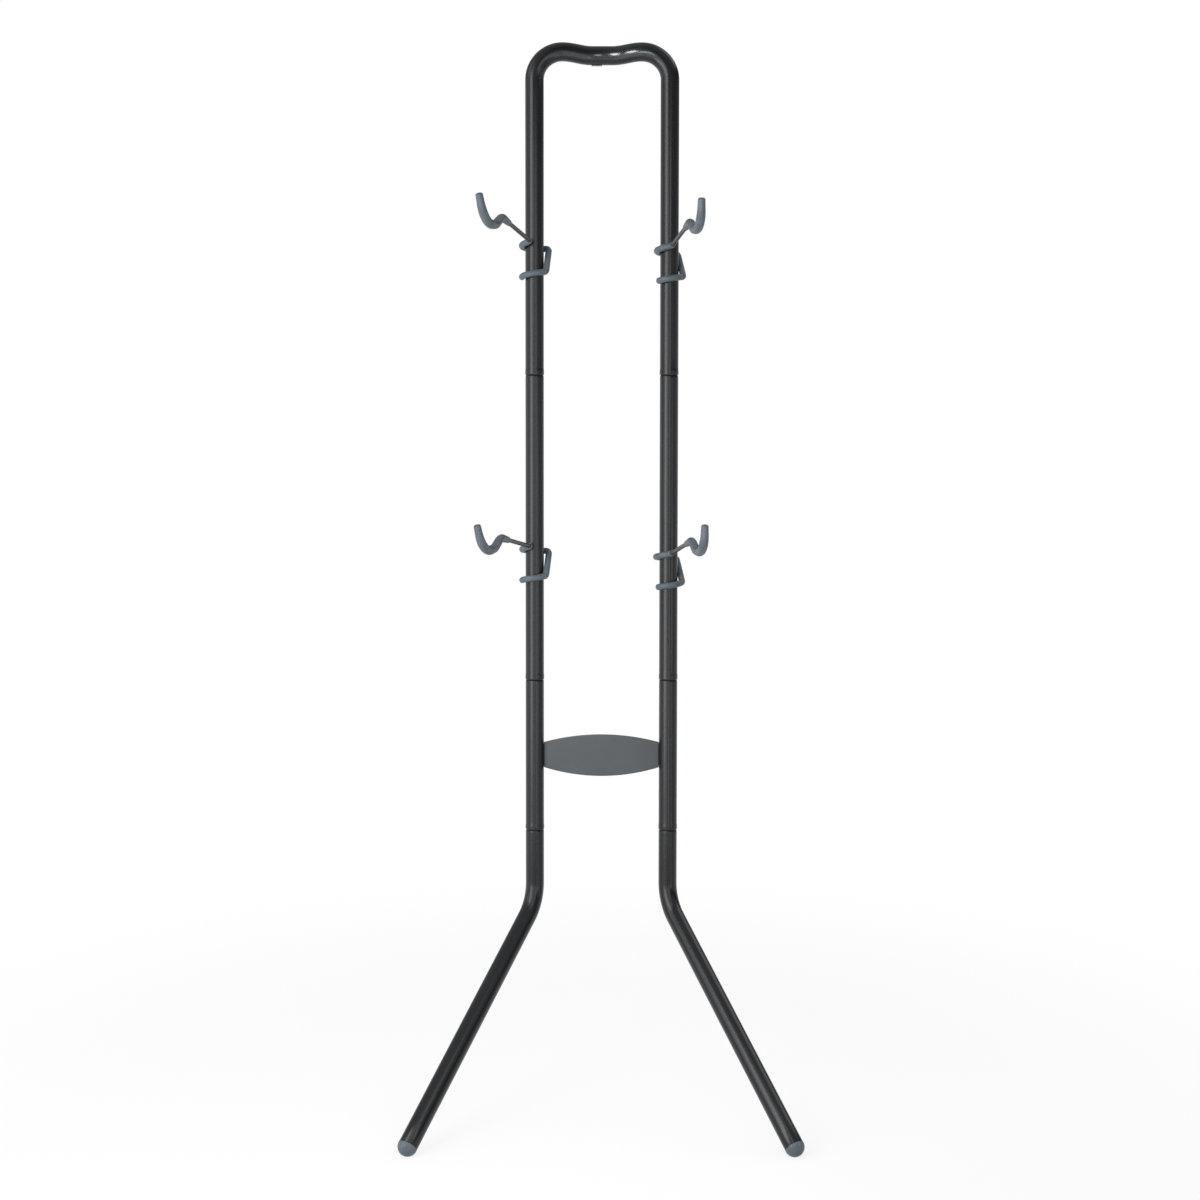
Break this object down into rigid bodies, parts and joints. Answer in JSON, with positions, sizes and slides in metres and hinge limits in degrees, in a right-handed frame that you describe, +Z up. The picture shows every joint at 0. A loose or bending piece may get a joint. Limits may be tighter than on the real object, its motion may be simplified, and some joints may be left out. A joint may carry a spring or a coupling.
{
  "type": "gravity bike stand",
  "caption": "Leaning tubular stand that rests on the floor and against a wall, with sliding, swivelling rod arms whose hooks carry bicycle frames.",
  "frame": {"origin": "on the floor, below the middle of the stand's width and depth as it leans at rest", "axes": "+Z up, +X to the right seen from the front, +Y from the bikes towards the wall that the stand leans on"},
  "size_m": [0.7764, 0.5447, 2.1583],
  "materials": {
    "charcoal_coating": "satin-gloss charcoal powder coat",
    "grey_coating": "satin grey powder coat",
    "rod_steel": "dark drawn steel rod",
    "blue_grey_rubber": "satin blue-grey vinyl and rubber"
  },
  "bodies": {
    "stand": {"top_arch": "charcoal_coating", "short_tube_left": "charcoal_coating", "short_tube_right": "charcoal_coating", "leg_left": "charcoal_coating", "leg_right": "charcoal_coating", "foot_cap_left": "blue_grey_rubber", "foot_cap_right": "blue_grey_rubber", "brace_plate": "grey_coating", "plate_weld_left": "charcoal_coating", "plate_weld_right": "charcoal_coating", "wall_bumper": "blue_grey_rubber"},
    "left_straight": {"straight_tube_left": "charcoal_coating"},
    "right_straight": {"straight_tube_right": "charcoal_coating"},
    "upper_left_arm": {"upper_left_arm_rod": "rod_steel", "upper_left_hook_sleeve": "blue_grey_rubber", "upper_left_grip_sleeve": "blue_grey_rubber"},
    "upper_right_arm": {"upper_right_arm_rod": "rod_steel", "upper_right_hook_sleeve": "blue_grey_rubber", "upper_right_grip_sleeve": "blue_grey_rubber"},
    "lower_left_arm": {"lower_left_arm_rod": "rod_steel", "lower_left_hook_sleeve": "blue_grey_rubber", "lower_left_grip_sleeve": "blue_grey_rubber"},
    "lower_right_arm": {"lower_right_arm_rod": "rod_steel", "lower_right_hook_sleeve": "blue_grey_rubber", "lower_right_grip_sleeve": "blue_grey_rubber"}
  },
  "joints": [
    {"name": "left_swivel", "type": "hinge", "parent": "stand", "child": "left_straight", "pos_m": [-0.13875, 0.18148, 0.85266], "axis": [0, 0.0523, 0.9986], "range_deg": [-72, 38]},
    {"name": "right_swivel", "type": "hinge", "parent": "stand", "child": "right_straight", "pos_m": [0.13875, 0.18148, 0.85266], "axis": [0, 0.0523, 0.9986], "range_deg": [-31.5, 78.5]},
    {"name": "upper_left_slide", "type": "slide", "parent": "stand", "child": "upper_left_arm", "axis": [0, 0.0523, 0.9986], "range_m": [-0.173, 0.318]},
    {"name": "upper_right_slide", "type": "slide", "parent": "stand", "child": "upper_right_arm", "axis": [0, 0.0523, 0.9986], "range_m": [-0.1645, 0.327]},
    {"name": "lower_left_slide", "type": "slide", "parent": "left_straight", "child": "lower_left_arm", "axis": [0, 0.0523, 0.9986], "range_m": [-0.179, 0.338]},
    {"name": "lower_right_slide", "type": "slide", "parent": "right_straight", "child": "lower_right_arm", "axis": [0, 0.0523, 0.9986], "range_m": [-0.1655, 0.351]}
  ]
}
